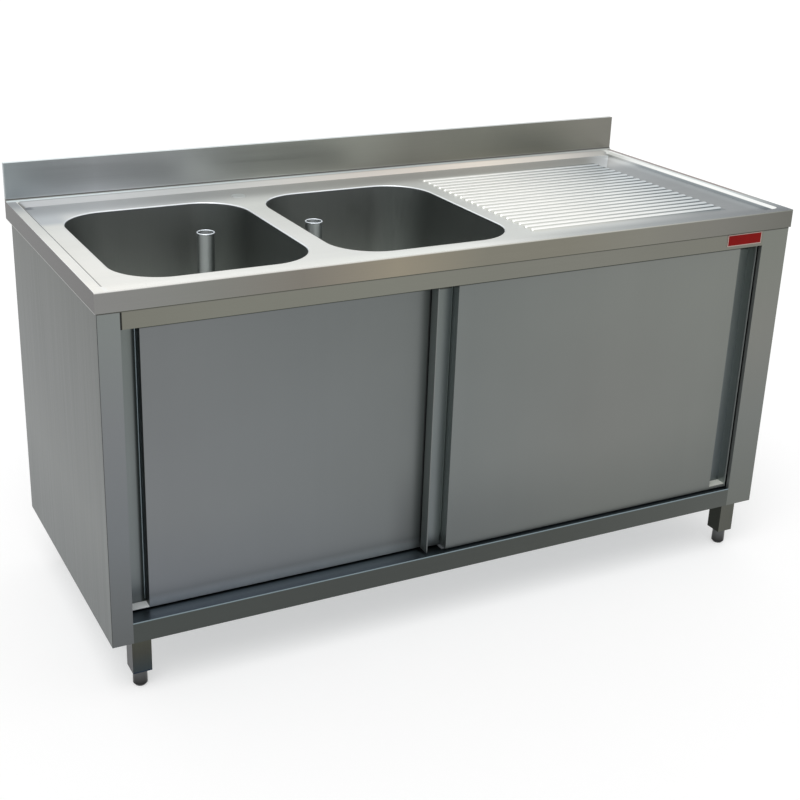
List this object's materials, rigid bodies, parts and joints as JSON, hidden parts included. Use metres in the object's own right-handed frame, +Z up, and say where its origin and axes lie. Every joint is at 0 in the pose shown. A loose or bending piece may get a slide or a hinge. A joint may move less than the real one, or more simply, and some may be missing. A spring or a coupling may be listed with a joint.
{
  "type": "kitchen sink unit",
  "caption": "Stainless steel kitchen sink unit: pressed worktop with bowls, ribbed drainer and splashback on a cupboard with sliding doors and adjustable feet.",
  "frame": {"origin": "on the floor, in the middle of the worktop's footprint", "axes": "+X along the worktop towards the drainer, +Y towards the wall, +Z up; the doors face -Y"},
  "size_m": [1.6, 0.7, 0.939],
  "materials": {
    "worktop_steel": "satin rolled stainless steel, brushed along its length",
    "bowl_steel": "pressed stainless steel, fine satin",
    "fitting_steel": "turned stainless steel, polished",
    "panel_steel": "brushed stainless steel sheet, grain upright",
    "rail_steel": "brushed stainless steel sheet, grain along the rail",
    "door_steel": "brushed stainless steel sheet, grain upright",
    "track_steel": "galvanised steel section",
    "leg_steel": "brushed stainless steel square tube",
    "foot_steel": "turned stainless steel, satin",
    "red_plate": "plain red enamel, no lettering",
    "board": "damping board",
    "core": "rigid door filling",
    "black_rubber": "moulded rubber",
    "nylon": "white nylon",
    "grey_plastic": "grey moulded plastic",
    "screw_steel": "bright zinc"
  },
  "bodies": {
    "unit": {"back_panel": "panel_steel", "base_shelf": "rail_steel", "base_stiffener": "track_steel", "bowl_left": "bowl_steel", "bowl_right": "bowl_steel", "door_guide": "grey_plastic", "door_track": "track_steel", "drainer_board": "board", "front_top_rail": "rail_steel", "leg_front_left": "leg_steel", "leg_front_right": "leg_steel", "leg_inserts": "grey_plastic", "leg_rear_left": "leg_steel", "leg_rear_right": "leg_steel", "name_plate": "red_plate", "rear_top_rail": "track_steel", "side_panel_left": "panel_steel", "side_panel_right": "panel_steel", "tap_hole_nut": "grey_plastic", "tap_hole_plug": "fitting_steel", "track_buffers": "black_rubber", "upstand_end_left": "worktop_steel", "upstand_end_right": "worktop_steel", "waste_body_left": "fitting_steel", "waste_body_right": "fitting_steel", "waste_nut_left": "grey_plastic", "waste_nut_right": "grey_plastic", "waste_seal_left": "black_rubber", "waste_seal_right": "black_rubber", "worktop": "worktop_steel"},
    "foot_front_left": {"foot_front_left": "foot_steel"},
    "foot_front_right": {"foot_front_right": "foot_steel"},
    "foot_rear_left": {"foot_rear_left": "foot_steel"},
    "foot_rear_right": {"foot_rear_right": "foot_steel"},
    "standpipe_left": {"standpipe_left": "fitting_steel"},
    "left_door": {"left_door_skin": "door_steel", "left_door_liner": "door_steel", "left_door_core": "core", "left_door_guide_channel": "nylon", "left_door_hangers": "track_steel", "left_door_axles": "screw_steel", "left_door_screws": "screw_steel"},
    "left_door_roller_outer": {"left_door_roller_outer": "nylon"},
    "left_door_roller_inner": {"left_door_roller_inner": "nylon"},
    "standpipe_right": {"standpipe_right": "fitting_steel"},
    "right_door": {"right_door_skin": "door_steel", "right_door_liner": "door_steel", "right_door_core": "core", "right_door_guide_channel": "nylon", "right_door_hangers": "track_steel", "right_door_axles": "screw_steel", "right_door_screws": "screw_steel"},
    "right_door_roller_outer": {"right_door_roller_outer": "nylon"},
    "right_door_roller_inner": {"right_door_roller_inner": "nylon"}
  },
  "joints": [
    {"name": "left_door_slide", "type": "slide", "parent": "unit", "child": "left_door", "axis": [1, 0, 0], "range_m": [0, 0.65]},
    {"name": "left_door_roller_outer_spin", "type": "hinge", "parent": "left_door", "child": "left_door_roller_outer", "pos_m": [-0.645, -0.2965, 0.8183], "axis": [0, 1, 0], "range_deg": [0, 3110]},
    {"name": "left_door_roller_inner_spin", "type": "hinge", "parent": "left_door", "child": "left_door_roller_inner", "pos_m": [-0.045, -0.2965, 0.8183], "axis": [0, 1, 0], "range_deg": [0, 3110]},
    {"name": "right_door_slide", "type": "slide", "parent": "unit", "child": "right_door", "axis": [1, 0, 0], "range_m": [-0.65, 0]},
    {"name": "right_door_roller_inner_spin", "type": "hinge", "parent": "right_door", "child": "right_door_roller_inner", "pos_m": [0.012, -0.326, 0.8183], "axis": [0, 1, 0], "range_deg": [-3110, 0]},
    {"name": "right_door_roller_outer_spin", "type": "hinge", "parent": "right_door", "child": "right_door_roller_outer", "pos_m": [0.612, -0.326, 0.8183], "axis": [0, 1, 0], "range_deg": [-3110, 0]},
    {"name": "standpipe_left_lift", "type": "slide", "parent": "unit", "child": "standpipe_left", "axis": [0, 0, 1], "range_m": [0, 0.28]},
    {"name": "standpipe_right_lift", "type": "slide", "parent": "unit", "child": "standpipe_right", "axis": [0, 0, 1], "range_m": [0, 0.28]},
    {"name": "foot_front_left_screw", "type": "slide", "parent": "unit", "child": "foot_front_left", "axis": [0, 0, -1], "range_m": [-0.006, 0.025]},
    {"name": "foot_front_right_screw", "type": "slide", "parent": "unit", "child": "foot_front_right", "axis": [0, 0, -1], "range_m": [-0.006, 0.025]},
    {"name": "foot_rear_left_screw", "type": "slide", "parent": "unit", "child": "foot_rear_left", "axis": [0, 0, -1], "range_m": [-0.006, 0.025]},
    {"name": "foot_rear_right_screw", "type": "slide", "parent": "unit", "child": "foot_rear_right", "axis": [0, 0, -1], "range_m": [-0.006, 0.025]}
  ],
  "couplings": [
    {"joint": "left_door_roller_outer_spin", "follows": "left_door_slide", "rad_per_m": 83.333},
    {"joint": "left_door_roller_inner_spin", "follows": "left_door_slide", "rad_per_m": 83.333},
    {"joint": "right_door_roller_inner_spin", "follows": "right_door_slide", "rad_per_m": 83.333},
    {"joint": "right_door_roller_outer_spin", "follows": "right_door_slide", "rad_per_m": 83.333}
  ]
}
